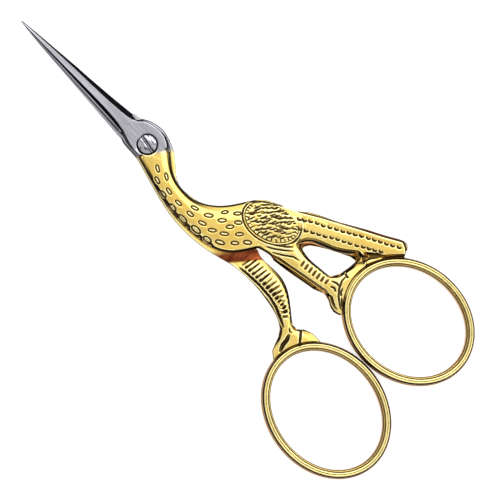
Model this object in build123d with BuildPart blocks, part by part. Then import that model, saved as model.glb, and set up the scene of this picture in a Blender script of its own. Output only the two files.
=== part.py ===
"""Stork embroidery scissors: two forged halves that turn on one slotted screw.

Frame: the origin is on the pivot's axis, on the plane that the scissors lie on.
+X runs from the pivot to the finger bows, so the tips point to -X.
+Y is the side of the stork's tail, and +Z is the side of the screw's head.
"""
from build123d import *
from math import cos, hypot, pi, radians, sin
import os

os.makedirs("parts", exist_ok=True)

# Overall sizes, in millimetres
blade_length = 28.3  # from the pivot to the tips
front_handle_length = 61.1  # from the pivot to the far end of the tail side's bow
rear_handle_length = 61.9
half_thickness = 1.3  # each half, at the pivot
ride_gap = 0.04  # between the two halves' inner faces
rest_gap = 0.1  # between the two bows when the scissors are closed

# Finger bows: an oval tube each
front_bow_length = 22.9
rear_bow_length = 23.4
bow_width = 19.3
bow_wall = 1.5  # the tube's width as seen from above
bow_tilt = 7.0  # degrees, each bow's far end leans away from the middle
bow_sides = 12  # flats round the tube

# Pivot screw and its seats
head_diameter = 3.0
head_height = 0.5
head_crown = 0.14  # how far the head domes up in the middle
slot_width = 0.5
slot_depth = 0.34
slot_angle = -12.0  # degrees from the long axis
shank_diameter = 1.8
bore_clearance = 0.03
seat_clearance = 0.15  # between the head and its counterbore
seat_depth = 0.45

# Boss, the flat steel plate round the screw
boss_length = 6.6
boss_width = 5.7
boss_break = 0.12  # the bevel round its outer face

# Blades
blade_width = 3.2  # at the root
blade_thickness = 1.24  # at the root
tip_offset = 0.12  # the tips lie this far to the -Y side

# Neck, body, tail, legs and feet
neck_relief = 0.05  # past the boss, the halves' inner faces stand back by this much
crown_drop = 0.05  # the crowned faces stay this far under the boss
wing_rise = 0.16  # the wing panel stands this far over the body
wing_length = 10.3
wing_width = 7.0
wing_angle = 20.0  # degrees from the long axis
rib_pitch = 0.8
rib_width = 0.32
rib_depth = 0.26
front_rib_length = 1.5
rear_rib_length = 2.3
cut_overrun = 1.0

# Places that follow from the sizes above
middle = half_thickness + ride_gap / 2
top = 2 * half_thickness + ride_gap
seat = top - seat_depth
bow_height = 2 * middle
crown_height = half_thickness - neck_relief - crown_drop
lean = radians(bow_tilt)


class Side:
    """One half's own places: its bow, and the reaches that its outline is drawn on."""

    tail_grip_share = 0.74  # the tail ends this far round the bow's length

    def __init__(self, sign, handle_length, bow_length):
        self.sign = sign
        self.face = middle + sign * (ride_gap / 2 + neck_relief)
        self.bow_a = (bow_length - bow_wall) / 2
        self.bow_b = (bow_width - bow_wall) / 2
        reach_x = hypot(self.bow_a * cos(lean), self.bow_b * sin(lean)) + bow_wall / 2
        reach_y = hypot(self.bow_a * sin(lean), self.bow_b * cos(lean)) + bow_wall / 2
        self.bow_x = handle_length - reach_x
        self.bow_y = reach_y + rest_gap / 2
        self.foot_x = self.bow_x - reach_x
        self.tail_x = self.bow_x - self.tail_grip_share * reach_x


front = Side(1, front_handle_length, front_bow_length)
rear = Side(-1, rear_handle_length, rear_bow_length)

# The sides of a slice: how far across, and how far up, from its flat side to its top
crown_shares = (
    (0.0, 0.22), (0.045, 0.55), (0.17, 0.88), (0.35, 1.0),
    (0.65, 1.0), (0.83, 0.88), (0.955, 0.55), (1.0, 0.22),
)
belly_shares = ((0.83, 0.75), (0.63, 1.0), (0.37, 1.0), (0.17, 0.75))

# Slices of the halves, from the boss outwards. Each row gives the slice's two outline points,
# with X as a share of the half's tail_x or foot_x, and Y as a share of its bow_y.
front_body_shares = (
    (-0.012, -0.221, 0.006, 0.326),
    (0.025, -0.277, 0.060, 0.274),
    (0.072, -0.330, 0.115, 0.084),
    (0.130, -0.400, 0.165, -0.048),
    (0.200, -0.470, 0.215, -0.097),
    (0.285, -0.515, 0.270, -0.090),
    (0.382, -0.502, 0.324, 0.005),
    (0.472, -0.421, 0.378, 0.202),
    (0.534, -0.241, 0.421, 0.464),
    (0.580, 0.038, 0.464, 0.710),
    (0.627, 0.300, 0.538, 0.887),
)
rear_body_shares = (
    (-0.012, -0.244, 0.006, 0.343),
    (0.027, -0.297, 0.073, 0.302),
    (0.077, -0.351, 0.143, 0.105),
    (0.148, -0.431, 0.189, -0.043),
    (0.231, -0.513, 0.239, -0.092),
    (0.347, -0.569, 0.339, -0.026),
    (0.463, -0.538, 0.463, 0.072),
    (0.555, -0.456, 0.567, 0.097),
    (0.621, -0.392, 0.638, 0.070),
)

# The thicker stretches have three more shares: how high the crown rises, how far the
# section's inner side is past the middle, and how far that side bulges.
ribbed_shares = (0.86, 0.32, 0.52)
front_tail_shares = (
    (*front_body_shares[-1], 1.00, 0.00, 0.02),
    (0.693, 0.623, 0.619, 1.084, 0.98, 0.12, 0.12),
    (0.763, 0.877, 0.704, 1.287, 0.96, 0.24, 0.32),
    (0.856, 1.098, 0.805, 1.526, 0.94, 0.30, 0.46),
    (0.914, 1.287, 0.879, 1.697, 0.92, 0.32, 0.50),
    (0.965, 1.451, 0.941, 1.844, 0.90, 0.32, 0.50),
    (0.992, 1.590, 0.976, 1.910, 0.88, 0.32, 0.50),
    (1.017, 1.705, 1.003, 1.861, 0.84, 0.32, 0.46),
)
front_leg_shares = (
    (0.600, 0.038, 0.630, 0.513, 0.84, 0.00, 0.02),
    (0.646, 0.108, 0.684, 0.595, 0.84, 0.02, 0.03),
    (0.692, 0.152, 0.738, 0.628, 0.84, 0.08, 0.12),
    (0.751, 0.193, 0.784, 0.595, 0.85, 0.20, 0.30),
    (0.818, 0.243, 0.835, 0.579, 0.86, 0.28, 0.48),
    (0.893, 0.300, 0.901, 0.603, *ribbed_shares),
    (0.960, 0.349, 0.935, 0.644, *ribbed_shares),
)
front_foot_shares = (
    front_leg_shares[-1],
    (0.998, 0.308, 0.952, 0.759, 0.86, 0.30, 0.50),
    (1.023, 0.251, 0.960, 0.939, 0.85, 0.30, 0.48),
    (1.048, 0.231, 0.966, 1.136, 0.84, 0.30, 0.46),
    (1.077, 0.267, 0.990, 1.333, 0.82, 0.30, 0.44),
)
front_web_shares = (
    (1.001, 1.090, 0.985, 1.340, 0.52, 0.20, 0.30),
    (1.039, 1.254, 1.048, 1.532, 0.52, 0.20, 0.30),
)
rear_leg_shares = (
    (*rear_body_shares[-1], 1.00, 0.00, 0.02),
    (0.679, -0.375, 0.692, 0.023, 0.96, 0.24, 0.26),
    (0.754, -0.387, 0.771, 0.031, 0.88, 0.32, 0.48),
    (0.821, -0.425, 0.837, -0.048, *ribbed_shares),
    (0.883, -0.490, 0.904, -0.236, *ribbed_shares),
    (0.929, -0.597, 0.954, -0.392, *ribbed_shares),
)
rear_foot_shares = (
    rear_leg_shares[-1],
    (0.948, -0.711, 0.979, -0.400, 0.86, 0.32, 0.50),
    (0.958, -0.826, 1.004, -0.310, 0.85, 0.32, 0.48),
    (0.970, -0.941, 1.041, -0.261, 0.84, 0.32, 0.46),
    (1.008, -1.056, 1.095, -0.269, 0.82, 0.30, 0.42),
)

# The boss's outline, with X as a share of boss_length and Y as a share of boss_width
front_boss_upper_shares = (
    (-0.70, 0.120), (-0.61, 0.285), (-0.56, 0.385), (-0.44, 0.467), (-0.22, 0.532),
    (0.0, 0.561), (0.16, 0.545), (0.30, 0.480), (0.43, 0.365),
)
front_boss_lower_shares = ((0.05, -0.435), (-0.16, -0.405), (-0.52, -0.318), (-0.70, -0.100))
rear_boss_upper_shares = (
    (-0.70, 0.120), (-0.56, 0.430), (-0.36, 0.565), (-0.10, 0.640), (0.16, 0.615), (0.34, 0.510),
)
rear_boss_lower_shares = ((0.05, -0.467), (-0.16, -0.439), (-0.52, -0.390), (-0.70, -0.120))

# Blade slices from the root to the tip: how far along blade_length, the cutting edge and the
# spine as shares of blade_width, the thickness, and the widths of the two bevels
front_blade_shares = (
    (0.106, 0.545, -0.560, 1.00, 0.08, 0.12),
    (0.155, 0.537, -0.510, 0.98, 0.11, 0.15),
    (0.320, 0.443, -0.426, 0.90, 0.23, 0.17),
    (0.600, 0.310, -0.306, 0.68, 0.15, 0.13),
    (0.883, 0.120, -0.154, 0.42, 0.08, 0.08),
    (1.000, 0.030, -0.030, 0.20, 0.02, 0.02),
)
rear_blade_shares = (
    (0.106, 0.700, -0.780, 1.00, 0.08, 0.12),
    (0.155, 0.680, -0.720, 0.98, 0.11, 0.15),
    (0.320, 0.573, -0.543, 0.90, 0.23, 0.17),
    (0.600, 0.368, -0.335, 0.68, 0.15, 0.13),
    (0.883, 0.170, -0.111, 0.42, 0.08, 0.08),
    (1.000, 0.040, -0.030, 0.20, 0.02, 0.02),
)
spine_wall_share = 0.45

# The wing panel: its middle, the body rows that it covers, and its inset from their ends
wing_x_share = 0.555
wing_y_share = 0.592
wing_inset_share = 0.03

# The ribbed stretch of each leg
front_rib_shares = ((0.812, 0.410), (0.940, 0.486))
rear_rib_shares = ((0.672, -0.180), (0.765, -0.178), (0.840, -0.245), (0.922, -0.440))


def slice_face(near, far, inner, outer, belly=None):
    """One slice of a half: crowned on its outer side, and flat or bellied on its inner side."""
    width = hypot(far[0] - near[0], far[1] - near[1])
    height = outer - inner
    across = (far[0] - near[0], far[1] - near[1], 0)
    plane = Plane(origin=(*near, 0), x_dir=across, z_dir=(across[1], -across[0], 0))
    corners = [(s * width, inner + t * height) for s, t in crown_shares] + [(width, inner)]
    if belly is not None:
        corners += [(s * width, inner - t * belly) for s, t in belly_shares]
    with BuildSketch(plane) as drawn:
        with BuildLine():
            Polyline(*corners, (0, inner), close=True)
        make_face()
    return drawn.sketch.face()


def flat_slices(rows, half, reach_x):
    """The slices of a stretch that lies wholly on its own side of the middle."""
    outer = half.face + half.sign * crown_height
    for near_x, near_y, far_x, far_y in rows:
        near = (near_x * reach_x, near_y * half.bow_y)
        far = (far_x * reach_x, far_y * half.bow_y)
        yield slice_face(near, far, half.face, outer)


def full_slices(rows, half, reach_x):
    """The slices of a stretch that thickens past the middle, towards the bow."""
    for near_x, near_y, far_x, far_y, rise_share, inner_share, belly_share in rows:
        near = (near_x * reach_x, near_y * half.bow_y)
        far = (far_x * reach_x, far_y * half.bow_y)
        inner = half.face - half.sign * inner_share * half_thickness
        outer = half.face + half.sign * rise_share * crown_height
        yield slice_face(near, far, inner, outer, half.sign * belly_share * half_thickness)


def wing_slices(rows, half):
    """The body's slices once more, moved up by the wing's rise and drawn in at both ends."""
    inner = half.face + wing_rise
    for near_x, near_y, far_x, far_y, *more in rows:
        inset_x = wing_inset_share * (far_x - near_x)
        inset_y = wing_inset_share * (far_y - near_y)
        near = ((near_x + inset_x) * half.tail_x, (near_y + inset_y) * half.bow_y)
        far = ((far_x - inset_x) * half.tail_x, (far_y - inset_y) * half.bow_y)
        outer = inner + (more[0] if more else 1) * crown_height
        yield slice_face(near, far, inner, outer)


def blade_slice(row, half):
    """One slice of a blade: flat inside, bevelled to its edge and along its spine."""
    along, edge_share, spine_share, thick_share, edge_bevel, spine_bevel = row
    sign = half.sign
    face = middle + sign * ride_gap / 2
    outer = face + sign * thick_share * blade_thickness
    wall = face + sign * spine_wall_share * thick_share * blade_thickness
    edge = sign * edge_share * blade_width - tip_offset * along
    spine = sign * spine_share * blade_width - tip_offset * along
    flat_edge = edge - sign * edge_bevel * blade_width
    flat_spine = spine + sign * spine_bevel * blade_width
    with BuildSketch(Plane.YZ.offset(-along * blade_length)) as drawn:
        with BuildLine():
            Polyline((edge, face), (flat_edge, outer), (flat_spine, outer), (spine, wall),
                     (spine, face), close=True)
        make_face()
    return drawn.sketch.face()


def boss_face(upper_shares, lower_shares, height):
    """The boss's outline at one height."""
    upper = [(s * boss_length, t * boss_width) for s, t in upper_shares]
    lower = [(s * boss_length, t * boss_width) for s, t in lower_shares]
    with BuildSketch(Plane.XY.offset(height)) as drawn:
        with BuildLine():
            Spline(*upper)
            Line(upper[-1], lower[0])
            Spline(*lower)
            Line(lower[-1], upper[0])
        make_face()
    return drawn.sketch.face()


def bow_solid(half):
    """The finger bow: a tube of narrow flats, swept round an ellipse in two half turns."""
    centre = (half.bow_x, half.sign * half.bow_y)
    turn = half.sign * bow_tilt
    half_step = pi / bow_sides
    corners = [half_step * (2 * i + 1) for i in range(bow_sides)]
    across = bow_wall / 2 / cos(half_step)
    rise = bow_height / 2 / cos(half_step)
    with BuildPart() as bow:
        with BuildLine(Plane.XY.offset(middle)):
            out = EllipticalCenterArc(centre, half.bow_a, half.bow_b, 90, arc_size=180, rotation=turn)
            EllipticalCenterArc(centre, half.bow_a, half.bow_b, 270, arc_size=180, rotation=turn)
        outwards = (-half.sign * sin(lean), cos(lean), 0)
        with BuildSketch(Plane(origin=out @ 0, x_dir=outwards, z_dir=out % 0)):
            Polygon(*[(across * cos(turned), rise * sin(turned)) for turned in corners])
        sweep()
    return bow.part


def rib_planes(path_shares, half, height):
    """A plane on each groove's middle, at one height, with its X axis along the leg."""
    corners = [(x * half.foot_x, y * half.bow_y) for x, y in path_shares]
    with BuildLine():
        path = Spline(*corners)
    for i in range(int(path.length / rib_pitch) + 1):
        share = i * rib_pitch / path.length
        place = path @ share
        yield Plane(origin=(place.X, place.Y, height), x_dir=path % share, z_dir=(0, 0, 1))


def rib_cuts(path_shares, half, rib_length):
    """The grooves across both sides of a ribbed leg."""
    rise_share, inner_share, belly_share = ribbed_shares
    crown_side = half.face + half.sign * rise_share * crown_height
    belly_side = half.face - half.sign * (inner_share + belly_share) * half_thickness
    with BuildPart() as cuts:
        for height, outwards in ((crown_side, half.sign), (belly_side, -half.sign)):
            with BuildSketch(*rib_planes(path_shares, half, height - outwards * rib_depth)):
                Rectangle(rib_width, rib_length)
            extrude(amount=outwards * cut_overrun)
    return cuts.part


def screw_face():
    """Half of the screw's section: flush filed end, shank, and a head with a domed top."""
    base = seat + ride_gap
    rim = base + head_height
    reach = head_diameter / 2
    dome = (reach ** 2 + head_crown ** 2) / (2 * head_crown)
    with BuildSketch(Plane.XZ) as drawn:
        with BuildLine():
            Polyline((0, rim + head_crown), (0, 0), (shank_diameter / 2, 0),
                     (shank_diameter / 2, base), (reach, base), (reach, rim))
            RadiusArc((reach, rim), (0, rim + head_crown), -dome)
        make_face()
    return drawn.sketch.face()


# Front half: blade, boss, neck, body with wing and tail, leg, foot and bow, forged in one
with BuildPart() as wing:
    loft(list(wing_slices(front_body_shares[6:] + front_tail_shares[1:4], front)))
    with BuildSketch():
        with Locations((wing_x_share * front.tail_x, wing_y_share * front.bow_y)):
            Ellipse(wing_length / 2, wing_width / 2, rotation=wing_angle)
    extrude(amount=top + cut_overrun, mode=Mode.INTERSECT)

with BuildPart() as front_half:
    add(boss_face(front_boss_upper_shares, front_boss_lower_shares, half_thickness + ride_gap))
    extrude(amount=half_thickness)
    chamfer(front_half.edges().group_by(Axis.Z)[-1], boss_break)
    loft([blade_slice(row, front) for row in front_blade_shares], ruled=True)
    loft(list(flat_slices(front_body_shares, front, front.tail_x)))
    with BuildSketch(Plane.XY.offset(top)):
        Circle(head_diameter / 2 + seat_clearance)
    extrude(amount=-seat_depth, mode=Mode.SUBTRACT)
    with BuildSketch(Plane.XY.offset(top)):
        Circle(shank_diameter / 2 + bore_clearance)
    extrude(amount=-top, mode=Mode.SUBTRACT)
    loft(list(full_slices(front_tail_shares, front, front.tail_x)))
    loft(list(full_slices(front_leg_shares, front, front.foot_x)))
    add(rib_cuts(front_rib_shares, front, front_rib_length), mode=Mode.SUBTRACT)
    loft(list(full_slices(front_foot_shares, front, front.foot_x)), ruled=True)
    loft(list(full_slices(front_web_shares, front, front.foot_x)), ruled=True)
    add(bow_solid(front))
    add(wing.part)

front_half.part.label = "front_half"
export_step(front_half.part, "parts/front_half.step")

# Rear half: blade, boss, neck, body, leg, foot and bow
with BuildPart() as rear_half:
    add(boss_face(rear_boss_upper_shares, rear_boss_lower_shares, 0))
    extrude(amount=half_thickness)
    chamfer(rear_half.edges().group_by(Axis.Z)[0], boss_break)
    loft([blade_slice(row, rear) for row in rear_blade_shares], ruled=True)
    loft(list(flat_slices(rear_body_shares, rear, rear.foot_x)))
    with BuildSketch():
        Circle(shank_diameter / 2)
    extrude(amount=half_thickness, mode=Mode.SUBTRACT)
    loft(list(full_slices(rear_leg_shares, rear, rear.foot_x)))
    add(rib_cuts(rear_rib_shares, rear, rear_rib_length), mode=Mode.SUBTRACT)
    loft(list(full_slices(rear_foot_shares, rear, rear.foot_x)), ruled=True)
    add(bow_solid(rear))

rear_half.part.label = "rear_half"
export_step(rear_half.part, "parts/rear_half.step")

# Pivot screw
with BuildPart() as pivot_screw:
    add(screw_face())
    revolve(axis=Axis.Z)
    with BuildSketch(Plane.XY.offset(seat + ride_gap + head_height + head_crown)):
        Rectangle(head_diameter + cut_overrun, slot_width, rotation=slot_angle)
    extrude(amount=-slot_depth, mode=Mode.SUBTRACT)

pivot_screw.part.label = "pivot_screw"
export_step(pivot_screw.part, "parts/pivot_screw.step")
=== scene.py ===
"""Looks of the stork embroidery scissors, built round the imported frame.

Each handle is its CAD half read as a distance field, with a smooth bow added, rounded a little
and then engraved. Each blade is drawn again from sections with flat bevels. Lengths are in
millimetres until a mesh is made. Places named u and v are pixels of the photograph, turned so
that u runs along the scissors, away from the tip of the blades, and v runs across them.
"""
from math import cos, pi, radians, sin

import bmesh
import bpy
import numpy as np
import openvdb
from mathutils import Matrix, Vector


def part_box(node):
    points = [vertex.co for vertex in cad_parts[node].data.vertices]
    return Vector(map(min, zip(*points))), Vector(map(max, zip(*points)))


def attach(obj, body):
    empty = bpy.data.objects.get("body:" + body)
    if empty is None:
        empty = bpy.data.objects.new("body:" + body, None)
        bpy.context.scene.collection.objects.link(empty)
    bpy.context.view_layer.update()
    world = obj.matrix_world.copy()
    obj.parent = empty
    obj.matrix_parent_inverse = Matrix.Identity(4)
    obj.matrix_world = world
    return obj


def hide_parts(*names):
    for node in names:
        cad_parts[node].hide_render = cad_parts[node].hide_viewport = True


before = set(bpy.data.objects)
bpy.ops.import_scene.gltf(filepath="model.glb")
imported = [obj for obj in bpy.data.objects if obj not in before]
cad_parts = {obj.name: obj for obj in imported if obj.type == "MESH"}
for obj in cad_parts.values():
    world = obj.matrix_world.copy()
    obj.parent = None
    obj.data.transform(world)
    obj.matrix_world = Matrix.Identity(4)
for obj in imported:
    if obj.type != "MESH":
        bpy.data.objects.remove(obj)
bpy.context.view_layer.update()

MM = 0.001
VOXEL = 0.075
BAND = 8.0  # voxels of distance kept on each side of the surface
MARGIN = 6 * VOXEL  # room kept round a field
FAR = 9.0  # a distance past the reach of any line
PIXEL = 1 / 6.25  # one pixel of the photograph
PIVOT_U, PIVOT_V = 206.5, 2.2  # the screw's middle in the turned photograph
SIDE_SHIFT = 0.04  # places on the upper side lie this much further across
MIDDLE = 1.32  # height of the plane that the halves meet on
BOSS_TOP = 2.64
ROOT = -4.7  # the blade pieces take over from here
rng = np.random.default_rng(7)


# Distance fields

BOW_HALF_WIDTH = 8.9
TUBE_HALF_WIDTH, TUBE_HALF_HEIGHT, TUBE_POWER = 0.75, 1.32, 2.25  # a power of 2 is an ellipse
BOW_LINES = ((0.05, 0.065, 0.12), (-0.43, 0.075, 0.12), (0.68, 0.07, 0.16))  # place, width, depth


def smoothstep(x, low, high):
    t = np.clip((x - low) / (high - low), 0.0, 1.0)
    return t * t * (3 - 2 * t)


def bell(x, width):
    return np.exp(-(x / width) ** 2)


def blur(field, sigma):
    """Gaussian blur of a field, one axis after the other."""
    span = int(3 * sigma + 0.5)
    taps = np.exp(-0.5 * (np.arange(-span, span + 1) / sigma) ** 2)
    taps /= taps.sum()
    for axis in range(3):
        padded = np.pad(field, [(span, span) if a == axis else (0, 0) for a in range(3)], mode="edge")
        length = field.shape[axis]
        total = np.zeros_like(field)
        for i, tap in enumerate(taps):
            total += np.float32(tap) * padded.take(range(i, i + length), axis=axis)
        field = total
    return field


class Field:
    """A dense distance field round one CAD half, negative inside."""

    def __init__(self, node, low_x):
        low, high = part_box(node)
        low = np.array([low_x, low.y / MM, low.z / MM]) - MARGIN
        high = np.array([high.x, high.y, high.z]) / MM + MARGIN
        self.low = np.floor(low / VOXEL).astype(int)
        self.shape = tuple(int(n) for n in np.ceil(high / VOXEL).astype(int) - self.low)
        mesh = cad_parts[node].data
        points = np.empty(len(mesh.vertices) * 3, np.float32)
        mesh.vertices.foreach_get("co", points)
        mesh.calc_loop_triangles()
        corners = np.empty(len(mesh.loop_triangles) * 3, np.int32)
        mesh.loop_triangles.foreach_get("vertices", corners)
        grid = openvdb.FloatGrid.createLevelSetFromPolygons(
            points.reshape(-1, 3) / np.float32(MM), triangles=corners.reshape(-1, 3).astype(np.uint32),
            transform=openvdb.createLinearTransform(voxelSize=VOXEL), halfWidth=BAND)
        self.values = np.full(self.shape, BAND * VOXEL, np.float32)
        grid.copyToArray(self.values, ijk=tuple(int(i) for i in self.low))
        self.x, self.y, self.z = (
            ((self.low[a] + np.arange(self.shape[a])) * VOXEL).astype(np.float32) for a in range(3))

    def plan(self):
        """X and Y of each column of the field."""
        return np.meshgrid(self.x, self.y, indexing="ij")

    def mesh(self, name):
        """The field's surface as a mesh, and its vertices in millimetres."""
        grid = openvdb.FloatGrid(BAND * VOXEL)
        grid.copyFromArray(np.ascontiguousarray(self.values))
        points, triangles, quads = grid.convertToPolygons(isovalue=0.0, adaptivity=0.0)
        points = (points + self.low) * VOXEL * MM
        made = bpy.data.meshes.new(name)
        made.vertices.add(len(points))
        made.vertices.foreach_set("co", points.astype(np.float32).ravel())
        corners = np.concatenate([quads[:, ::-1].ravel(), triangles[:, ::-1].ravel()])
        made.loops.add(len(corners))
        made.loops.foreach_set("vertex_index", corners.astype(np.int32))
        made.polygons.add(len(quads) + len(triangles))
        starts = np.concatenate([np.arange(len(quads)) * 4,
                                 len(quads) * 4 + np.arange(len(triangles)) * 3])
        made.polygons.foreach_set("loop_start", starts.astype(np.int32))
        made.update(calc_edges=True)
        made.validate()
        return made, points / MM


def own_axes(plan, centre, tilt):
    """Each place along and across an oval's own axes."""
    x, y = plan[0] - centre[0], plan[1] - centre[1]
    turn = radians(tilt)
    return x * cos(turn) + y * sin(turn), y * cos(turn) - x * sin(turn)


def bow_field(field, centre, semi_a, tilt):
    """Distance to a smooth oval tube, and the fine lines cut round it."""
    semi_b = BOW_HALF_WIDTH
    a, b = own_axes(field.plan(), centre, tilt)
    angle = np.arctan2(b / semi_b, a / semi_a)
    for _ in range(4):  # the nearest point of the oval, by its own angle
        ca, sa = np.cos(angle), np.sin(angle)
        slope = (semi_a * ca - a) * -semi_a * sa + (semi_b * sa - b) * semi_b * ca
        curve = (semi_a * sa) ** 2 + (semi_b * ca) ** 2 - (semi_a * ca - a) * semi_a * ca \
            - (semi_b * sa - b) * semi_b * sa
        angle = angle - slope / np.maximum(curve, 20.0)
    gap = np.hypot(a - semi_a * np.cos(angle), b - semi_b * np.sin(angle))
    outward = np.where((a / semi_a) ** 2 + (b / semi_b) ** 2 > 1, gap, -gap)
    lines = sum(depth * bell(outward - place, width) for place, width, depth in BOW_LINES)
    power = TUBE_POWER
    s = np.abs(gap)[:, :, None] / TUBE_HALF_WIDTH
    t = np.abs(field.z - MIDDLE)[None, None, :] / TUBE_HALF_HEIGHT
    q = (s ** power + t ** power + 1e-9) ** (1 / power)
    gradient = np.hypot((s / q) ** (power - 1) / TUBE_HALF_WIDTH,
                        (t / q) ** (power - 1) / TUBE_HALF_HEIGHT)
    distance = (q - 1) / np.maximum(gradient, 0.3)
    return np.clip(distance, -BAND * VOXEL, BAND * VOXEL).astype(np.float32), lines


def segment(plan, start, end):
    """How far along a segment each place lies, from 0 to 1, and its distance from the segment."""
    (x, y), (ax, ay), (bx, by) = plan, start, end
    length = max((bx - ax) ** 2 + (by - ay) ** 2, 1e-9)
    share = np.clip(((x - ax) * (bx - ax) + (y - ay) * (by - ay)) / length, 0, 1)
    return share, np.hypot(x - ax - share * (bx - ax), y - ay - share * (by - ay))


def polygon_distance(plan, corners):
    """Signed distance to a closed outline in the plane, negative inside."""
    x, y = plan
    nearest = np.full(x.shape, FAR)
    inside = np.zeros(x.shape, bool)
    for (ax, ay), (bx, by) in zip(corners, corners[1:] + corners[:1]):
        nearest = np.minimum(nearest, segment(plan, (ax, ay), (bx, by))[1])
        crosses = (ay > y) != (by > y)
        inside ^= crosses & (x < (bx - ax) * (y - ay) / (by - ay + 1e-12) + ax)
    return np.where(inside, -nearest, nearest)


# Places of the engraving, in pixels of the turned photograph

FEATHERS = (  # u, v, length, width and turn in degrees
    (231, -8, 9, 4, -30), (243, -7.5, 9, 4, -32), (239, -16.5, 9, 4, -15), (255, -16, 9, 4, -10),
    (253, -22, 9, 4, -8), (270, -17.5, 9, 4, 3), (269, -25, 10, 5, -3), (284, -26, 12, 6, 0),
    (286, -17, 9, 4.5, 8), (285, -9.5, 9, 4, 20), (301, -24, 12, 6, 5), (301, -15, 9.5, 4.5, 20),
    (300, -5, 10, 4.5, 38), (316, -23, 10, 5.5, 12), (313, -13, 9.5, 4.5, 38), (313, 1, 9.5, 4.5, 45),
    (309, 9, 8, 4, 55), (319, 17, 9, 4, 45), (326, 11, 9, 4.5, 42), (323, 2, 9, 4.5, 48),
    (324, -7, 10, 4.5, 38), (327, -16, 10.5, 5, 28), (335, 3.5, 9, 4.5, 48), (338, -6, 9, 4.5, 42),
    (346.5, 3.5, 9.5, 5, 38),
)
BELLY_PITS = ((262, -28.2), (277, -28.4), (293, -28.2), (309, -27.2), (322, -24.6), (247, -25.6))
TAIL_ROWS = (
    ((366.5, 57), (371, 60), (376, 63.5), (382, 67), (388, 69.5), (394, 73), (400, 76.5),
     (406, 79.5), (411.5, 83), (417, 86), (422.5, 89.5), (429, 93), (434.5, 96), (440, 99),
     (446, 102), (451.5, 105), (457.5, 108.5)),
    ((374, 50.5), (379.5, 53.5), (385.5, 57), (391, 60), (397, 63), (402.5, 67), (408, 70),
     (414, 73), (419.5, 76), (426, 79.5), (431.5, 83), (437, 86), (442, 88.8), (447.5, 92.5)),
)
WING = (349, 35.5, 62, 43, 20)  # u, v, length, width and turn in degrees
WING_BACK, BACK_SLOPE = 43, 0.35  # the rim fades out beyond this slanting row
BEADS, BEAD_INSET, BEAD_END = 34, 3.9, 45
BARB_COLUMNS, BARB_PITCH, BARB_SLOPE, BARB_LEAN = 19, 3.3, 0.30, 60
BARB_REACH_U, BARB_REACH_V = 30, 24
OUTLINES = (  # points, width and depth of the hairline cut just inside the stamped side's edge
    ([(187, 16.8), (190, 18.3), (194, 19.7), (200, 20.9), (207, 21.3), (213, 20.4), (219, 17.6),
      (226, 12.4)], 0.26, 0.18),
    ([(196, -11), (200, -12), (207, -13.3), (213, -14.4)], 0.22, 0.16),
    ([(322, -26), (330, -23.8), (338, -18.8), (346, -10.8), (353, -3.8), (358, 1.6), (364, 8),
      (375, 12.6), (400, 18.0), (425, 22.6), (438, 24.4)], 0.19, 0.15),
    ([(444, 24.5), (449, 21.5), (454, 19.6), (459, 19.4), (464, 21)], 0.34, 0.24),
    ([(322, 39.4), (330, 46.2), (340, 52.2), (350, 57.8), (362, 63.6), (380, 74.4), (400, 85.2),
      (420, 96.1), (440, 106.6), (452, 113.6), (457, 116.1), (462, 114), (468, 109.4)], 0.30, 0.24),
)
QUILLS = (  # long cuts below the wing
    [(362, 13.5), (370, 18), (378, 24), (385, 30)],
    [(361, 17.5), (369, 22), (377, 28), (382, 33)],
    [(372, 14.5), (381, 20), (389, 26), (396, 27.5)],
    [(378, 33), (379.5, 39), (378.5, 46)],
)
TOES = (  # the foot's cuts, where it grips the bow
    [(440, 50), (440.5, 43), (444, 36), (449, 30), (455, 25.5), (461, 22)],
    [(433, 36), (438, 38), (443, 38)],
    [(446, 39), (448, 34), (451, 32)],
    [(436, 31), (440, 33), (444, 31)],
    [(452, 31.5), (456, 27.5), (460, 25)],
    [(438, 51.5), (441, 50), (443, 50.5)],
)
WEB_CUT = [(438, 70), (441, 76), (444, 82), (449, 89)]
SHOULDER_START, SHOULDER_BEND, SHOULDER_END = (175, 8.0), (183.5, 11.0), (188, 15.5)
SPINE_START, SPINE_BEND, SPINE_END = (176, -4.5), (187, -7.6), (200, -12)
EDGE_SLOPE, SPINE_SLOPE = 0.82, 0.95  # of the upper blade's outer bevels
REAR_RIBS = (354.8, 359.4, 364, 368.6, 373.6, 378.5, 383.4, 388.3, 393.2, 398, 402.6, 407, 411.3,
             415.5, 419.4, 423)
LEG_BEND, LONG_RIBS_END = 400, 386
REAR_RAILS = (  # points, width and depth
    ([(349, -20.5), (365, -18.6), (385, -18.0), (400, -19.2), (412, -22), (424, -27.5), (431, -31)],
     0.3, 0.36),
    ([(441, -33), (443, -38), (443.5, -44), (446, -50)], 0.5, 0.5),
    ([(446, -20), (449, -24), (453, -29), (456, -33)], 0.3, 0.3),
    ([(436, -27), (439, -29.5), (442, -29)], 0.24, 0.2),
)
REAR_FEATHERS_END = 338  # the lower half's outer side has feathers up to here


# Engraving

def spot(u, v):
    """Millimetres on the upper side, from pixels of the turned photograph."""
    return (u - PIVOT_U) * PIXEL, (v - PIVOT_V) * PIXEL + SIDE_SHIFT


def column_x(u):
    return spot(u, 0)[0]


def row_y(v):
    return spot(0, v)[1]


def turned(u, v, a, b, turn):
    """The pixel that lies a along and b across from another, on turned axes."""
    return u + a * cos(turn) - b * sin(turn), v + a * sin(turn) + b * cos(turn)


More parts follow.
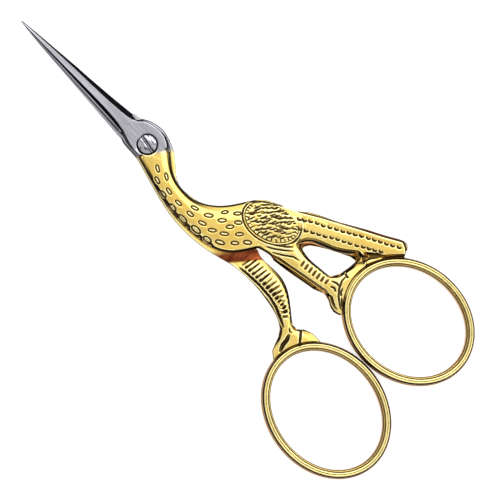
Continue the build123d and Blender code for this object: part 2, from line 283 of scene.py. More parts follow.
def line(plan, points, width, depth, taper=False):
    """A groove along a few points of the turned photograph."""
    nearest = np.full(plan[0].shape, FAR)
    places = [spot(*p) for p in points]
    total = len(places) - 1
    weight = np.ones(plan[0].shape)
    for i, (start, end) in enumerate(zip(places, places[1:])):
        share, gap = segment(plan, start, end)
        if taper:
            weight = np.where(gap < nearest, 1 - 0.7 * np.abs(2 * (i + share) / total - 1) ** 3, weight)
        nearest = np.minimum(nearest, gap)
    return depth * weight * bell(nearest, width / 2)


def oval_distance(plan, u, v, length, width, tilt):
    """Signed distance to an oval of the turned photograph, roughly, in millimetres."""
    a, b = own_axes(plan, spot(u, v), tilt)
    a, b = a / (length * PIXEL / 2), b / (width * PIXEL / 2)
    q = np.sqrt(a * a + b * b) + 1e-6
    slope = np.hypot(a / q / (length * PIXEL / 2), b / q / (width * PIXEL / 2))
    return (q - 1) / slope


def feather(plan, u, v, length, width, tilt):
    """One small feather: an outlined oval with a faintly domed middle and a quill."""
    away = oval_distance(plan, u, v, length - 1.4, width - 1.0, tilt)
    rim = 0.18 * bell(away, 0.09)
    middle = 0.05 * smoothstep(-away, 0.06, 0.2)
    turn, half = radians(tilt), 0.26 * length
    ends = [turned(u, v, -half, 0, turn), turned(u, v, half, 0, turn)]
    return rim + line(plan, ends, 0.13, 0.05) - middle


def crescent(plan, u, v, tilt=18.0):
    """One stamped scale of the tail: a shallow smile, deepest in its middle."""
    points = []
    for i in range(7):
        t = -1 + i / 3
        points.append(turned(u, v, 2.5 * t, 1.8 * t * t - 1.0, radians(tilt)))
    hollow = oval_distance(plan, u, v + 0.9, 4.6, 2.6, tilt)
    return line(plan, points, 0.25, 0.27, taper=True) + 0.05 * smoothstep(-hollow, -0.15, 0.2)


def wing(plan):
    """The folded wing: a beaded rim round rows of short flight feathers."""
    u0, v0, length, width, tilt = WING
    away = oval_distance(plan, *WING)
    back = row_y(WING_BACK)
    lower = smoothstep(plan[1] - BACK_SLOPE * (plan[0] - column_x(u0)), back + 0.9, back - 0.4)
    cuts = [(0.2 * bell(away, 0.11) + 0.12 * bell(away + 0.36, 0.10)) * lower]
    turn = radians(tilt)
    for i in range(BEADS):  # between the rim's two lines
        angle = 2 * pi * i / BEADS
        u, v = turned(u0, v0, (length / 2 - BEAD_INSET) * cos(angle),
                      (width / 2 - BEAD_INSET) * sin(angle), turn)
        if v - BACK_SLOPE * (u - u0) < BEAD_END:
            out = angle + turn
            ends = [turned(u, v, -1.2, 0, out), turned(u, v, 1.5, 0, out)]
            cuts.append(line(plan, ends, 0.17, 0.15))
    inside = smoothstep(-away, 0.7, 0.9)
    for column in range(BARB_COLUMNS):  # long slanting cuts, broken into short lengths
        u = u0 - BARB_REACH_U + BARB_PITCH * column + rng.uniform(-0.5, 0.5)
        v = v0 - BARB_REACH_V + BARB_SLOPE * (u - u0) + rng.uniform(-3, 1)
        while v < v0 + BARB_REACH_V + BARB_SLOPE * (u - u0):
            lean = radians(BARB_LEAN + rng.uniform(-9, 9))
            barb = rng.uniform(4.0, 9.5)
            du, dv = barb * cos(lean), barb * sin(lean)
            sag = rng.uniform(0.3, 0.9)
            points = [(u, v), (u + du / 2 + sag, v + dv / 2 - sag / 2), (u + du, v + dv)]
            cuts.append(inside * line(plan, points, rng.uniform(0.16, 0.24),
                                      rng.uniform(0.12, 0.27), taper=True))
            if rng.uniform() < 0.45:
                hook = [(u + du, v + dv), (u + du + 2.2, v + dv + 0.3)]
                cuts.append(inside * line(plan, hook, 0.16, 0.12))
            u += 0.25 * du
            v += dv + rng.uniform(0.8, 2.2)
    return np.maximum.reduce(cuts)


def beyond(plan, first, last):
    """Distance to the left of a line through two pixels of the turned photograph."""
    (ax, ay), (bx, by) = spot(*first), spot(*last)
    return ((bx - ax) * (plan[1] - ay) - (by - ay) * (plan[0] - ax)) / np.hypot(bx - ax, by - ay)


def root_bevels(plan):
    """The blade's two outer bevels, carried on past its root into the boss."""
    shoulder = np.where(plan[0] < column_x(SHOULDER_BEND[0]),
                        beyond(plan, SHOULDER_START, SHOULDER_BEND),
                        beyond(plan, SHOULDER_BEND, SHOULDER_END))
    shoulder = np.clip(EDGE_SLOPE * shoulder, 0, 0.75) \
        * smoothstep(plan[0], column_x(188.6), column_x(187))
    spine = np.maximum(beyond(plan, SPINE_BEND, SPINE_START), beyond(plan, SPINE_END, SPINE_BEND))
    spine = np.clip(SPINE_SLOPE * spine, 0, 0.6) * smoothstep(plan[0], column_x(200), column_x(192))
    return np.maximum(shoulder, spine)


def upper_relief(plan):
    """Depth of the engraving on the tail half's upper side."""
    cuts = [np.zeros(plan[0].shape), root_bevels(plan)]
    cuts += [line(plan, *outline) for outline in OUTLINES]
    domes = np.zeros(plan[0].shape)
    for row in FEATHERS:
        cut = feather(plan, *row)
        cuts.append(np.maximum(cut, 0))
        domes += np.minimum(cut, 0)
    for u, v in BELLY_PITS:
        x, y = spot(u, v)
        cuts.append(0.34 * np.exp(-((plan[0] - x) / 0.42) ** 2 - ((plan[1] - y) / 0.26) ** 2))
    for row in TAIL_ROWS:
        cuts += [crescent(plan, u, v) for u, v in row]
    cuts.append(wing(plan))
    cuts += [line(plan, points, 0.22, 0.26, taper=True) for points in QUILLS]
    cuts += [line(plan, points, 0.26, 0.26, taper=True) for points in TOES]
    cuts.append(line(plan, WEB_CUT, 0.7, 0.5, taper=True))
    return np.maximum.reduce(cuts) + domes


def leg_relief(plan):
    """Fine cuts of the other half's leg and foot, seen from above."""
    cuts = [line(plan, *rail, taper=True) for rail in REAR_RAILS]
    for u in REAR_RIBS:
        drop = max(0.0, u - LEG_BEND) ** 2 / 80
        top, low = min(-1.5, 1.16 * (u - 365)) - 0.9 * drop, -15.8 - 0.62 * drop
        if u < LONG_RIBS_END:
            rib = [(u + 1, top), (u, (top + low) / 2), (u - 0.8, low)]
            cuts.append(line(plan, rib, 0.22, 0.22, taper=True))
        cuts.append(line(plan, [(u - 0.8, low + 3.6), (u - 1.2, low)], 0.34, 0.3, taper=True))
    return np.maximum.reduce(cuts)


# The two handles

HOLE = ((390, 42), (391, 38), (394, 34.5), (400, 33.2), (420, 35), (430, 38), (434, 48), (436, 60),
        (436.5, 69), (430, 68), (420, 63), (410, 58), (400, 52), (393, 47))
SKIRT_SLOPE, SKIRT_TOP, SKIRT_FOOT, SKIRT_WIDTH = 0.95, 0.75, 0.62, 1.6
TAIL = ((340, 51.2), (350, 56.9), (362, 62.7), (380, 73.5), (400, 84.3), (420, 95.2), (440, 105.7),
        (452, 112.7), (457, 115.5), (467, 108.8), (462, 103), (450, 92), (440, 87), (420, 77),
        (400, 65), (380, 55), (362, 46), (348, 44))
TAIL_TOP, TAIL_FOOT = 2.43, 1.35
BOSS_LEVEL, BOSS_END = 2.0, -1.5  # height of the outline that is carried on, and where it stops
LEG_COLUMNS, LEG_ROWS = (360, 446), (6, 31)  # where the leg's lower wall slopes
LEG_SPREAD = 0.52  # how far out its foot goes
ROUNDING, BOSS_ROUNDING, HOLLOW_BLUR = 1.3, 2.3, 2.6  # blurs, in voxels
CEILING, CEILING_DROP, CEILING_SLOPE = 2.86, 0.28, 0.42  # over the wing, falling to the back
UPPER_FADE, REAR_UPPER_FADE, LOWER_FADE = (0.25, 0.6), (-0.15, 0.05), (0.25, 0.6)


def cavity(field, points):
    """How hollow (negative) or ridged (positive) the surface is at each vertex."""
    soft = blur(field.values, HOLLOW_BLUR) - field.values
    place = points / VOXEL - field.low
    base = np.clip(np.floor(place).astype(int), 0, np.array(field.shape) - 2)
    part = np.clip(place - base, 0, 1)
    total = np.zeros(len(points))
    for i in (0, 1):
        for j in (0, 1):
            for k in (0, 1):
                weight = np.where(i, part[:, 0], 1 - part[:, 0]) \
                    * np.where(j, part[:, 1], 1 - part[:, 1]) * np.where(k, part[:, 2], 1 - part[:, 2])
                total += weight * soft[base[:, 0] + i, base[:, 1] + j, base[:, 2] + k]
    return total


def skirt(field):
    """The sloping lower wall round the gap between the tail and the leg."""
    away = polygon_distance(field.plan(), [spot(*p) for p in HOLE])
    slope = ((field.z - SKIRT_TOP) * SKIRT_SLOPE)[None, None, :]
    solid = np.maximum(slope - away[:, :, None], (away - SKIRT_WIDTH)[:, :, None])
    return np.maximum(solid, (SKIRT_FOOT - field.z)[None, None, :]).astype(np.float32)


def root_fill(field):
    """The boss's flat, carried on level to the blade's root."""
    level = int(round(BOSS_LEVEL / VOXEL)) - field.low[2]
    outline = field.values[:, :, level][:, :, None]
    solid = np.maximum(outline, (field.z - BOSS_TOP)[None, None, :])
    solid = np.maximum(solid, (field.x - BOSS_END)[:, None, None])
    return np.maximum(solid, (MIDDLE + 0.3 - field.z)[None, None, :]).astype(np.float32)


def tail_fill(field):
    """The tail's upper side, flat right out to its outer edge."""
    away = polygon_distance(field.plan(), [spot(*p) for p in TAIL])[:, :, None]
    solid = np.maximum(away, np.maximum(field.z - TAIL_TOP, TAIL_FOOT - field.z)[None, None, :])
    return solid.astype(np.float32)


def under_leg(field):
    """The leg's lower wall slopes outwards as it goes down: the field, sheared towards -Y."""
    x, y = field.plan()
    left, right = map(column_x, LEG_COLUMNS)
    low, high = map(row_y, LEG_ROWS)
    here = np.minimum(np.clip((x - left) / 2.8, 0, 1), np.clip((right - x) / 3.2, 0, 1)) \
        * smoothstep(y, low, low + 0.3) * smoothstep(y, high, high - 0.6)
    sheared = field.values.copy()
    for k, z in enumerate(field.z):
        steps = int(round(LEG_SPREAD * smoothstep(z, 2.1, 0.9) / VOXEL))
        if steps:
            sheared[:, :-steps, k] = field.values[:, steps:, k]
    return sheared + (0.6 * (1 - here) + 0.6 * (here <= 0))[:, :, None].astype(np.float32)


def sample(table, field, points):
    """A plan's value at each vertex, between its columns."""
    place = points[:, :2] / VOXEL - field.low[:2]
    base = np.clip(np.floor(place).astype(int), 0, np.array(table.shape) - 2)
    s, t = np.clip(place - base, 0, 1).T
    i, j = base.T
    return (table[i, j] * (1 - s) + table[i + 1, j] * s) * (1 - t) \
        + (table[i, j + 1] * (1 - s) + table[i + 1, j + 1] * s) * t


def store(mesh, name, values):
    attribute = mesh.attributes.new(name, "FLOAT", "POINT")
    attribute.data.foreach_set("value", values.astype(np.float32))


def handle(name, field, bow, is_front, upper, lower):
    """One half's boss, body and bow as a rounded and engraved piece."""
    centre, semi_a, tilt = bow
    x, y = field.plan()
    crisp = field.values.copy()
    tube, lines = bow_field(field, centre, semi_a, tilt)
    field.values = np.minimum(field.values, tube)
    if is_front:
        for fill in (skirt, under_leg, root_fill, tail_fill):
            field.values = np.minimum(field.values, fill(field))
    rounded = blur(field.values, ROUNDING)
    boss = (smoothstep(field.x, ROOT + 0.2, ROOT + 1.2) * smoothstep(field.x, 3.4, 1.8))[:, None, None]
    rounded += (blur(field.values, BOSS_ROUNDING) - rounded) * boss
    keep = smoothstep(field.x, ROOT, ROOT + 1.2)[:, None, None]
    field.values = crisp + (rounded - crisp) * keep
    if is_front:  # the wing's upper side runs out into the back
        lean = (y - row_y(0)) - CEILING_SLOPE * (x - column_x(WING[0]))
        ceiling = CEILING - CEILING_DROP * smoothstep(lean / PIXEL, 41, 53)
        over = field.z[None, None, :] - ceiling[:, :, None].astype(np.float32)
        field.values = np.maximum(field.values, over)
    from_z, to_z = UPPER_FADE if is_front else REAR_UPPER_FADE

    def on_upper(z):
        return smoothstep(z, MIDDLE + from_z, MIDDLE + to_z)

    def on_lower(z):
        return smoothstep(z, MIDDLE - LOWER_FADE[0], MIDDLE - LOWER_FADE[1])

    def on_both(z):
        return smoothstep(np.abs(z - MIDDLE), *LOWER_FADE)

    from_centre = np.hypot(x - centre[0], y - centre[1])
    lines = lines * smoothstep(from_centre, 5.0, 6.0) * smoothstep(from_centre, 13.5, 12.5)
    layers = ((upper, on_upper), (lower, on_lower), (lines, on_both))
    for table, share in layers:
        field.values += (table[:, :, None] * share(field.z)).astype(np.float32)
    field.values += (smoothstep(field.x, ROOT, ROOT - 0.3) * 0.08)[:, None, None].astype(np.float32)
    field.values = np.maximum(field.values, (ROOT - 0.4 - field.x)[:, None, None])
    field.values = np.maximum(field.values, (-field.z)[None, None, :] + 0.001)
    made, points = field.mesh(name)
    store(made, "hollow", cavity(field, points))
    cut = sum(sample(table, field, points) * share(points[:, 2]) for table, share in layers)
    if is_front:  # painted shade between the wing's feathers: the wing's middle counts as a little cut, so it is painted darker
        cut += sample(0.04 * smoothstep(-oval_distance((x, y), *WING), 0.5, 0.9), field, points)
    store(made, "cut", cut)
    made.shade_smooth()
    return made


def add_piece(name, mesh, body, nodes, material):
    piece = bpy.data.objects.new(name, mesh)
    bpy.context.scene.collection.objects.link(piece)
    mesh.materials.clear()
    mesh.materials.append(material)
    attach(piece, body)
    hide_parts(*nodes)
    return piece


def soften(piece, width):
    """Hairline rounding of the facets' edges, the facets themselves staying flat."""
    rounding = piece.modifiers.new("rounding", "BEVEL")
    rounding.width = width * MM
    rounding.segments = 2
    rounding.limit_method = "ANGLE"
    rounding.angle_limit = radians(14)
    rounding.harden_normals = True


# The two blades

BLADE_LENGTH, BLADE_WIDTH, BLADE_THICKNESS = 28.3, 3.2, 1.24
STATIONS = (179, 172, 165, 150, 130, 100, 75, 55, 40, 29.9)  # values of u
ALONG = (0.106, 0.155, 0.32, 0.6, 0.883, 1.0)  # shares of the length, for the rows below
THICK = (1.0, 0.98, 0.9, 0.68, 0.42, 0.2)
FRONT_EDGE = (0.545, 0.537, 0.443, 0.310, 0.120, 0.030)
FRONT_SPINE = (0.560, 0.510, 0.426, 0.306, 0.154, 0.030)
REAR_EDGE = (0.700, 0.680, 0.573, 0.368, 0.170, 0.040)
REAR_SPINE = (0.780, 0.720, 0.543, 0.335, 0.111, 0.030)
TIP_SHIFT = 0.12  # the blades lean this far towards -Y by their tips
LAP = 0.02  # from the middle plane to each blade's inner face
ROOT_LIFT, ROOT_BLEND = 0.004, (130, 178)  # the blade rises to just over the boss's flat
STRIP_SLOPE, HEEL_SLOPE = 0.22, 0.8  # the pale strip, and the steep facet under it
EDGE_LINE = ((29.9, 0.9), (45, 2.0), (60, 2.8), (75, 3.4), (100, 4.4), (130, 5.0), (150, 5.6),
             (165, 6.6), (172, 7.5), (180, 9.2))
SPINE_LINE = ((29.9, 0.6), (60, -0.2), (100, -0.9), (130, -1.3), (150, -1.8), (165, -2.8),
              (175, -4.2), (180, -5.4))
LOWER_LINE = ((29.9, 0.1), (60, -1.4), (100, -2.9), (130, -4.0), (150, -4.9), (165, -5.8),
              (175, -6.9), (180, -7.7))


def reach(table, along):
    return float(np.interp(along, ALONG, table)) * BLADE_WIDTH


def line_y(table, u):
    """Y of a line on the upper side, from its pixels in the photograph."""
    us, vs = zip(*table)
    return row_y(float(np.interp(u, us, vs)))


def front_section(u):
    """The upper blade's outline at u. The shares of its width keep the bands apart at the tip."""
    along = (PIVOT_U - u) * PIXEL / BLADE_LENGTH
    face = MIDDLE + LAP
    top = face + float(np.interp(along, ALONG, THICK)) * BLADE_THICKNESS
    top += (BOSS_TOP + ROOT_LIFT - top) * float(smoothstep(u, *ROOT_BLEND))
    thick = top - face
    edge = reach(FRONT_EDGE, along) - TIP_SHIFT * along
    spine = -reach(FRONT_SPINE, along) - TIP_SHIFT * along
    width = edge - spine
    rim = edge - 0.012 * width
    bevel = min(line_y(EDGE_LINE, u), edge - 0.12 * width)
    ridge = max(line_y(SPINE_LINE, u), spine + 0.12 * width)
    ridge = min(ridge, bevel - 0.08 * width)
    lower = min(max(line_y(LOWER_LINE, u), spine + 0.06 * width), ridge - 0.04 * width)
    shoulder = max(top - EDGE_SLOPE * (rim - bevel), face + 0.10 * thick)
    knee = max(top - SPINE_SLOPE * (ridge - lower), face + 0.35 * thick)
    turn = min(spine + 0.13 * (1 - 0.7 * along), lower - 0.03 * width)
    heel = max(knee - STRIP_SLOPE * (lower - turn), face + 0.24 * thick)
    foot = max(heel - HEEL_SLOPE * (turn - spine), face + 0.05 * thick)
    return [(edge, face), (rim, shoulder), (bevel, top), (ridge, top), (lower, knee), (turn, heel),
            (spine, foot), (spine, face)]


def rear_section(u):
    """The lower blade's outline at u, with a groove beside the upper blade's spine."""
    along = (PIVOT_U - u) * PIXEL / BLADE_LENGTH
    face = MIDDLE - LAP
    depth = float(np.interp(along, ALONG, THICK)) * BLADE_THICKNESS
    edge = -reach(REAR_EDGE, along) - TIP_SHIFT * along
    spine = reach(REAR_SPINE, along) - TIP_SHIFT * along
    width = spine - edge
    groove = 0.08 * (1 - 0.75 * along)
    rail = max(-reach(FRONT_SPINE, along) - TIP_SHIFT * along - 0.2 * groove, edge + 0.10 * width)
    lip = min(reach(FRONT_EDGE, along) - TIP_SHIFT * along - 0.02, spine - 0.1 * width)
    bare = spine - lip
    return [(edge, face - 0.03), (rail - groove, face - 0.01), (rail, face - 0.85 * groove),
            (rail + groove, face), (lip, face), (lip + 0.6 * bare, face - 0.46 * bare),
            (spine, face - 0.54 * bare), (spine, face - 0.46 * bare - 0.4 * depth),
            (spine - 0.13 * width, face - depth), (edge + 0.20 * width, face - depth)]


def blade_mesh(section, name):
    """A blade drawn through its sections with flat facets."""
    drawn = bmesh.new()
    rings = []
    for u in STATIONS:
        x = (u - PIVOT_U) * PIXEL
        rings.append([drawn.verts.new((x * MM, y * MM, z * MM)) for y, z in section(u)])
    for one, other in zip(rings, rings[1:]):
        for i in range(len(one)):
            j = (i + 1) % len(one)
            drawn.faces.new((one[i], one[j], other[j], other[i]))
    drawn.faces.new(rings[0])
    drawn.faces.new(rings[-1])
    bmesh.ops.recalc_face_normals(drawn, faces=drawn.faces[:])
    made = bpy.data.meshes.new(name)
    drawn.to_mesh(made)
    drawn.free()
    made.shade_smooth()
    made.set_sharp_from_angle(angle=radians(9))
    return made


# Materials

class Nodes:
    """A small helper that adds shader nodes and links them by socket name."""

    def __init__(self, tree):
        self.tree = tree
        tree.nodes.clear()

    def fill(self, socket, value):
        if isinstance(value, bpy.types.NodeSocket):
            self.tree.links.new(value, socket)
        else:
            socket.default_value = value

    def add(self, kind, inputs=None, **settings):
        node = self.tree.nodes.new(kind)
        for key, value in settings.items():
            setattr(node, key, value)
        for key, value in (inputs or {}).items():
            self.fill(node.inputs[key], value)
        return node

    def maths(self, operation, *values, clamp=False):
        node = self.add("ShaderNodeMath", dict(enumerate(values)), operation=operation, use_clamp=clamp)
        return node.outputs[0]

    def times(self, one, other):
        return self.maths("MULTIPLY", one, other)

    def plus(self, one, other, clamp=False):
        return self.maths("ADD", one, other, clamp=clamp)

    def less(self, one, other):
        return self.maths("SUBTRACT", one, other)

    def wavering(self, value, noise, amount):
        """A value moved up and down by a noise."""
        return self.plus(value, self.times(self.less(noise, 0.5), amount))

    def ramp(self, value, low, high):
        node = self.add("ShaderNodeMapRange", {"Value": value, "From Min": low, "From Max": high},
                        interpolation_type="SMOOTHSTEP")
        return node.outputs["Result"]

    def blend(self, share, one, other):
        node = self.add("ShaderNodeMix", data_type="RGBA")
        for index, value in ((0, share), (6, one), (7, other)):
            self.fill(node.inputs[index], value)
        return node.outputs[2]

    def noise(self, scale, detail=3.0, stretch=(1, 1, 1), offset=(0, 0, 0)):
        place = self.add("ShaderNodeTexCoord").outputs["Object"]
        moved = self.add("ShaderNodeMapping", {"Vector": place, "Scale": stretch, "Location": offset})
        node = self.add("ShaderNodeTexNoise", {
            "Vector": moved.outputs[0], "Scale": scale, "Detail": detail, "Roughness": 0.6})
        return node.outputs[0]


def rgb(r, g, b):
    return (r, g, b, 1.0)


STEEL_DARK, STEEL_PALE = rgb(0.385, 0.38, 0.42), rgb(0.50, 0.495, 0.535)
# a near black painted on the bevels as a painted dark reflection, and a dark painted in hollows and
# cuts as painted shade
STEEL_BEVEL_PAINTED_DARK, STEEL_HOLLOW_SHADE = rgb(0.018, 0.017, 0.020), rgb(0.02, 0.018, 0.02)
# painted shadow: streaked red-brown and dark brown on the lower half where it lies under the upper
# half's belly
SHADOW_RED, SHADOW_BROWN = rgb(0.27, 0.066, 0.020), rgb(0.10, 0.020, 0.008)
GOLD_PALE, GOLD_DEEP = rgb(0.96, 0.715, 0.205), rgb(0.92, 0.63, 0.147)
# a paler gold painted on ridges as a painted highlight, and a browner gold painted on steep walls as
# painted shade
GOLD_RIDGE_HIGHLIGHT, GOLD_WALL_SHADE = rgb(0.99, 0.87, 0.40), rgb(0.66, 0.36, 0.10)
# a near black painted on convex sloping edges as a painted dark reflection, and a dark brown painted in
# hollows and cuts as painted shade
GOLD_EDGE_PAINTED_DARK, GOLD_HOLLOW_SHADE = rgb(0.020, 0.009, 0.004), rgb(0.05, 0.018, 0.005)
# a dark for worn patches, and a dark painted in the slot as painted shade
SCREW_WORN, SCREW_SLOT_SHADE = rgb(0.035, 0.034, 0.038), rgb(0.015, 0.014, 0.016)
PLATING_X, PLATING_Y = 838.0, -545.0  # across the line where the plating ends
SLOT_TURN = -12.0  # degrees
SLOT_FLOOR, SLOT_RIM = 0.00260, 0.00266  # metres


class Surface:
    """What a metal reads of a surface: its place, its slope, its hollows and its noises."""

    def __init__(self, nodes):
        place = nodes.add("ShaderNodeTexCoord")
        position = nodes.add("ShaderNodeSeparateXYZ", {0: place.outputs["Object"]})
        normal = nodes.add("ShaderNodeSeparateXYZ", {0: place.outputs["Normal"]})
        self.x, self.y, self.z = (position.outputs[axis] for axis in "XYZ")
        self.upright = nodes.maths("ABSOLUTE", normal.outputs["Z"])
        self.wall = nodes.ramp(self.upright, 0.80, 0.55)
        self.from_middle = nodes.maths("ABSOLUTE", nodes.less(self.z, MIDDLE * MM))
        self.mottle, self.broad = nodes.noise(900.0, 4.0), nodes.noise(160.0, 2.0)
        self.hollow = nodes.add("ShaderNodeAttribute", attribute_name="hollow").outputs["Fac"]
        cut = nodes.add("ShaderNodeAttribute", attribute_name="cut").outputs["Fac"]
        # painted shade: hollows and deep cuts are marked here, and the metals are painted darker there
        # as if shade falls in them
        shade_from_hollow = nodes.wavering(self.hollow, self.mottle, 0.02)
        shade_from_cut = nodes.wavering(cut, self.mottle, 0.10)
        self.hollow_shade = nodes.maths("MAXIMUM", nodes.ramp(shade_from_hollow, -0.012, -0.042),
                               nodes.ramp(shade_from_cut, 0.035, 0.115))


def steel_colour(nodes, on):
    """Grey steel, its bevels painted near black as a painted dark reflection, and painted shade in its
    hollows.
    """
    grain = nodes.noise(1500.0, 3.0, stretch=(0.08, 1.0, 1.0))
    colour = nodes.blend(nodes.ramp(grain, 0.35, 0.7), STEEL_DARK, STEEL_PALE)
    # painted dark reflection: facets tipped a little from flat are painted near black
    facing = nodes.maths("MAXIMUM", nodes.ramp(on.upright, 0.58, 0.64),
                         nodes.ramp(on.hollow, 0.003, 0.010))
    painted_dark_bevels = nodes.times(nodes.ramp(on.upright, 0.95, 0.88), facing)
    colour = nodes.blend(painted_dark_bevels, colour, STEEL_BEVEL_PAINTED_DARK)
    # painted shade in hollows and cuts
    return nodes.blend(on.hollow_shade, colour, STEEL_HOLLOW_SHADE)


def gold_colour(nodes, on):
    """Gold with its edges painted near black as a painted dark reflection, its walls and hollows
    painted darker as painted shade, its ridges paler as a painted highlight, and a painted shadow
    between the legs where the halves lie close.
    """
    # painted dark reflection: convex, sloping edges are painted near black
    edge = nodes.times(nodes.ramp(on.upright, 0.90, 0.74), nodes.ramp(on.upright, 0.10, 0.30))
    edge = nodes.times(edge, nodes.ramp(on.hollow, 0.003, 0.010))
    # painted shadow on the lower half's lap face between the legs, where the upper half's belly shades
    # it
    lap = nodes.times(nodes.ramp(on.from_middle, 0.00055, 0.00040), nodes.ramp(on.upright, 0.5, 0.8))
    near_side = nodes.less(on.x, nodes.times(on.y, 0.7))
    far_side = nodes.less(on.x, nodes.times(on.y, 0.86))
    legs = nodes.times(nodes.ramp(near_side, 0.0222, 0.0240), nodes.ramp(far_side, 0.0264, 0.0258))
    shadow_streaks = nodes.noise(700.0, 3.0, stretch=(1.0, 0.35, 1.0))
    painted_shadow = nodes.blend(nodes.ramp(shadow_streaks, 0.4, 0.62), SHADOW_RED, SHADOW_BROWN)
    colour = nodes.blend(nodes.ramp(on.broad, 0.35, 0.65), GOLD_PALE, GOLD_DEEP)
    # painted highlight: ridges are painted a paler gold
    colour = nodes.blend(nodes.ramp(on.hollow, 0.012, 0.05), colour, GOLD_RIDGE_HIGHLIGHT)
    # painted shade: steep walls are painted a browner gold
    colour = nodes.blend(on.wall, colour, GOLD_WALL_SHADE)
    colour = nodes.blend(edge, colour, GOLD_EDGE_PAINTED_DARK)
    colour = nodes.blend(nodes.times(lap, legs), colour, painted_shadow)
    # painted shade in hollows and cuts
    return nodes.blend(nodes.times(on.hollow_shade, 0.92), colour, GOLD_HOLLOW_SHADE)


def plated_share(nodes, on):
    """The plating ends on a slanting line just past the boss."""
    along = nodes.plus(nodes.times(on.x, PLATING_X), nodes.times(on.y, PLATING_Y))
    return nodes.ramp(nodes.wavering(along, on.broad, 0.9), 1.2, 2.1)


def screw_colour(nodes, on, colour):
    """Dark worn patches on the screw's head, and painted shade along the sides of its slot."""
    turn = radians(SLOT_TURN)
    off = nodes.maths("ABSOLUTE", nodes.less(nodes.times(on.y, cos(turn)),
                                             nodes.times(on.x, sin(turn))))
    sunk = nodes.ramp(on.z, SLOT_RIM, SLOT_FLOOR)
    corner = nodes.ramp(off, 0.00002, 0.00012)
    worn = nodes.ramp(nodes.noise(1900.0, 2.0, stretch=(0.6, 1.3, 1.0), offset=(5, 2, 0)), 0.52, 0.60)
    colour = nodes.blend(nodes.times(worn, 0.80), colour, SCREW_WORN)
    # painted shade: the slot's floor is painted dark towards its walls
    return nodes.blend(nodes.times(sunk, corner), colour, SCREW_SLOT_SHADE)


def metal(name, gilt=False, slotted=False):
    """Polished steel, with gold plating past the boss, or the wear and the painted slot shade of a
    slotted screw.
    """
    material = bpy.data.materials.new(name)
    material.use_nodes = True
    nodes = Nodes(material.node_tree)
    on = Surface(nodes)
    colour = steel_colour(nodes, on)
    if gilt:
        colour = nodes.blend(plated_share(nodes, on), colour, gold_colour(nodes, on))
    if slotted:
        colour = screw_colour(nodes, on, colour)
    facing_lap = nodes.times(nodes.ramp(on.from_middle, 0.00016, 0.00010),
                             nodes.ramp(on.upright, 0.9, 0.97))
    rough = nodes.plus(0.12, nodes.times(on.mottle, 0.12))
    rough = nodes.plus(rough, nodes.times(on.wall, 0.16))
    rough = nodes.plus(rough, nodes.times(facing_lap, 0.3))
    rough = nodes.plus(rough, nodes.times(on.hollow_shade, 0.3), clamp=True)
    hair = nodes.noise(5200.0, 2.0, stretch=(0.05, 1.0, 1.0), offset=(3, 1, 2))
    height = nodes.plus(nodes.times(hair, 0.6), nodes.times(on.mottle, 0.5))
    bump = nodes.add("ShaderNodeBump", {"Strength": 0.12, "Distance": 0.00002, "Height": height})
    shader = nodes.add("ShaderNodeBsdfPrincipled", {
        "Base Color": colour, "Metallic": 1.0, "Roughness": rough, "Normal": bump.outputs[0]})
    nodes.add("ShaderNodeOutputMaterial", {"Surface": shader.outputs[0]})
    return material


gilt_steel = metal("gold_plated_steel", gilt=True)
blade_steel = metal("blade_steel")
screw_metal = metal("screw_steel", slotted=True)


# The pieces

HALVES = (  # side, CAD node, the bow's centre, half length and turn, and the blade's section
    ("front", "front_half", ((49.675, 9.729), 10.7, 7.0), front_section),
    ("rear", "rear_half", ((50.228, -9.734), 10.95, -7.0), rear_section),
)
FIELD_START = ROOT - 0.6

for side, node, bow, section in HALVES:
    field = Field(node, FIELD_START)
    plan = field.plan()
    if side == "front":
        upper = upper_relief(plan)
        lower = np.maximum.reduce([crescent(plan, u, v) for row in TAIL_ROWS for u, v in row])
    else:
        upper = leg_relief(plan)
        cuts = [feather(plan, *row) for row in FEATHERS if row[1] < 0 and row[0] < REAR_FEATHERS_END]
        lower = np.maximum.reduce(cuts) + sum(np.minimum(cut, 0) for cut in cuts)
    mesh = handle(side + "_handle", field, bow, side == "front", upper, lower)
    add_piece(side + "_handle", mesh, side, [node], gilt_steel)
    mesh = blade_mesh(section, side + "_blade")
    blade = add_piece(side + "_blade", mesh, side, [node], blade_steel)
    soften(blade, 0.015)

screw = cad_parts["pivot_screw"]
screw.data.materials.clear()
screw.data.materials.append(screw_metal)
weld = screw.modifiers.new("weld", "WELD")
weld.merge_threshold = 1e-6
soften(screw, 0.07)


# Floor, light and camera, in metres

FLOOR_HALF, FLOOR_DROP = 3, 0.00002
FLOOR_GREY, FLOOR_GLOW = rgb(0.60, 0.60, 0.60), 0.74
WHITE = rgb(1, 1, 1)
SKY = ((0.0, 0.15), (0.05, 0.03), (0.22, 0.03), (0.38, 0.60), (0.52, 1.05), (0.84, 1.22), (1.0, 0.92))
LAMP_TARGET, LAMP_DISTANCE = (0.0235, 0, 0), 1.1
CAMERA_TILT, CAMERA_LENS, CAMERA_SENSOR = 7.0, 150, 36
CAMERA_TARGET, PICTURE_WIDTH = (23.53, -0.36, 2.75), 79.76  # millimetres

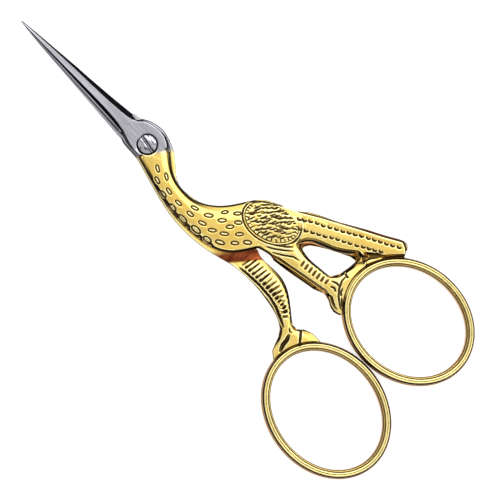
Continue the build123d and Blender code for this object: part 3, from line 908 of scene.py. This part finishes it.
corners = [(-FLOOR_HALF, -FLOOR_HALF, 0), (FLOOR_HALF, -FLOOR_HALF, 0),
           (FLOOR_HALF, FLOOR_HALF, 0), (-FLOOR_HALF, FLOOR_HALF, 0)]
floor_mesh = bpy.data.meshes.new("floor")
floor_mesh.from_pydata(corners, [], [(0, 1, 2, 3)])
floor = bpy.data.objects.new("floor", floor_mesh)
bpy.context.scene.collection.objects.link(floor)
floor.location.z = -FLOOR_DROP
paper = bpy.data.materials.new("paper")
paper.use_nodes = True
nodes = Nodes(paper.node_tree)
path = nodes.add("ShaderNodeLightPath")
seen = nodes.maths("MAXIMUM", path.outputs["Is Glossy Ray"], path.outputs["Is Transmission Ray"])
seen = nodes.maths("MAXIMUM", path.outputs["Is Camera Ray"], seen)
matte = nodes.add("ShaderNodeBsdfDiffuse", {"Color": FLOOR_GREY})
glow = nodes.add("ShaderNodeEmission", {"Color": WHITE, "Strength": nodes.times(seen, FLOOR_GLOW)})
lit_paper = nodes.add("ShaderNodeAddShader", {0: matte.outputs[0], 1: glow.outputs[0]})
nodes.add("ShaderNodeOutputMaterial", {"Surface": lit_paper.outputs[0]})
floor_mesh.materials.append(paper)

world = bpy.data.worlds.new("studio")
bpy.context.scene.world = world
world.use_nodes = True
nodes = Nodes(world.node_tree)
direction = nodes.add("ShaderNodeSeparateXYZ", {
    0: nodes.add("ShaderNodeTexCoord").outputs["Generated"]})
bands = nodes.add("ShaderNodeValToRGB", {"Fac": direction.outputs["Z"]})
while len(bands.color_ramp.elements) < len(SKY):
    bands.color_ramp.elements.new(0.5)
for element, (position, level) in zip(bands.color_ramp.elements, SKY):
    element.position = position
    element.color = (level, level, level, 1)
from_behind = nodes.add("ShaderNodeMapRange", {
    "Value": direction.outputs["Y"], "From Min": -0.7, "From Max": 0.7, "To Min": 0.62, "To Max": 1.2})
background = nodes.add("ShaderNodeBackground", {
    "Color": bands.outputs[0], "Strength": from_behind.outputs[0]})
white = nodes.add("ShaderNodeBackground", {"Color": WHITE, "Strength": 1.0})
camera_ray = nodes.add("ShaderNodeLightPath").outputs["Is Camera Ray"]
sky = nodes.add("ShaderNodeMixShader", {0: camera_ray, 1: background.outputs[0], 2: white.outputs[0]})
nodes.add("ShaderNodeOutputWorld", {"Surface": sky.outputs[0]})


def lamp(name, azimuth, elevation, size, energy, colour=(1, 1, 1)):
    """An oblong lamp that faces the middle of the scissors."""
    light = bpy.data.lights.new(name, "AREA")
    light.shape = "RECTANGLE"
    light.size, light.size_y = size
    light.energy = energy
    light.color = colour
    holder = bpy.data.objects.new(name, light)
    bpy.context.scene.collection.objects.link(holder)
    a, e = radians(azimuth), radians(elevation)
    offset = Vector((cos(e) * cos(a), cos(e) * sin(a), sin(e)))
    holder.location = Vector(LAMP_TARGET) + LAMP_DISTANCE * offset
    holder.rotation_euler = (-offset).to_track_quat("-Z", "Y").to_euler()


lamp("key", 118, 62, (1.1, 0.5), 2.4)
lamp("fill", -70, 34, (1.2, 0.22), 1.1, (1.0, 0.98, 0.95))
lamp("side", 15, 30, (0.9, 0.20), 0.8)

camera_data = bpy.data.cameras.new("camera")
camera_data.lens = CAMERA_LENS
camera_data.sensor_width = CAMERA_SENSOR
camera_data.clip_start = 0.01
camera = bpy.data.objects.new("camera", camera_data)
bpy.context.scene.collection.objects.link(camera)
tip = radians(CAMERA_TILT)
sight = Vector((0, -sin(tip), cos(tip)))
long_axis, cross_axis = Vector((1, 0, 0)), Vector((0, cos(tip), sin(tip)))
right, up = (long_axis + cross_axis).normalized(), (cross_axis - long_axis).normalized()
away = PICTURE_WIDTH * MM * camera_data.lens / camera_data.sensor_width
camera.location = Vector(CAMERA_TARGET) * MM + sight * away
camera.rotation_euler = Matrix((right, up, sight)).transposed().to_euler()
bpy.context.scene.camera = camera
bpy.context.scene.view_settings.view_transform = "Standard"
